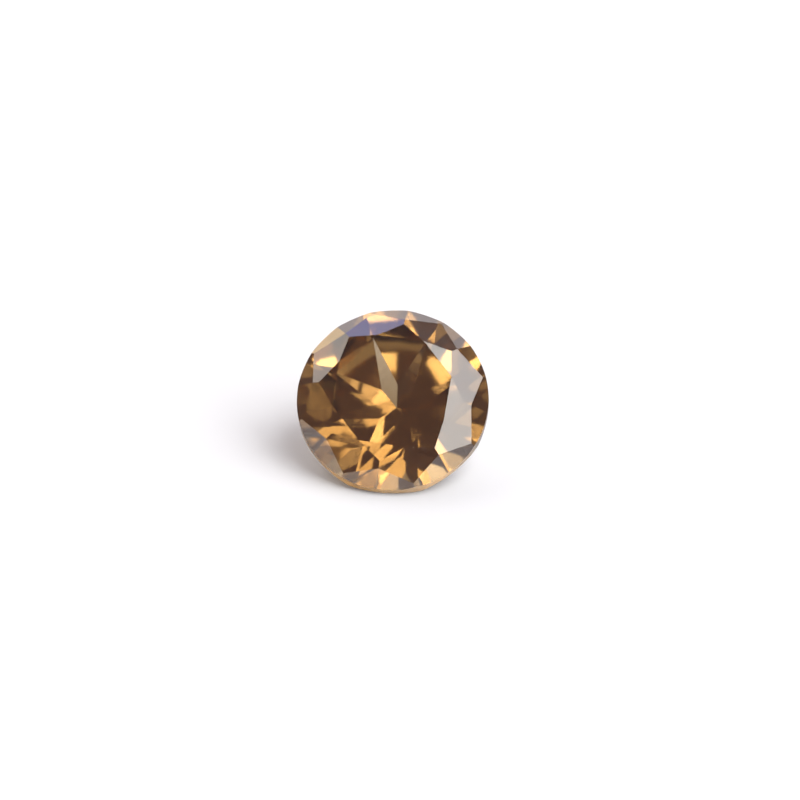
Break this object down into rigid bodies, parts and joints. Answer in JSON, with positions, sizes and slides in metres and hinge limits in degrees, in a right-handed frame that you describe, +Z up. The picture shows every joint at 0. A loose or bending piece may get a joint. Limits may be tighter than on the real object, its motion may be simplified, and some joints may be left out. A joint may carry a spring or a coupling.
{
  "type": "round brilliant-cut brown zircon",
  "caption": "Loose round brilliant-cut gemstone in clear champagne-brown zircon, lying on a pavilion facet, ready to set or display.",
  "frame": {"origin": "on the surface that the stone lies on, under the middle of its bounding box", "axes": "+Z up from the surface; the table leans towards -Y, so -Y is the front; +X to the right"},
  "size_m": [0.0066, 0.0052, 0.0046],
  "materials": {
    "zircon": "polished facets, satin girdle, clear brown body"
  },
  "bodies": {
    "root": {"round_cut_zircon": "zircon"}
  },
  "joints": []
}
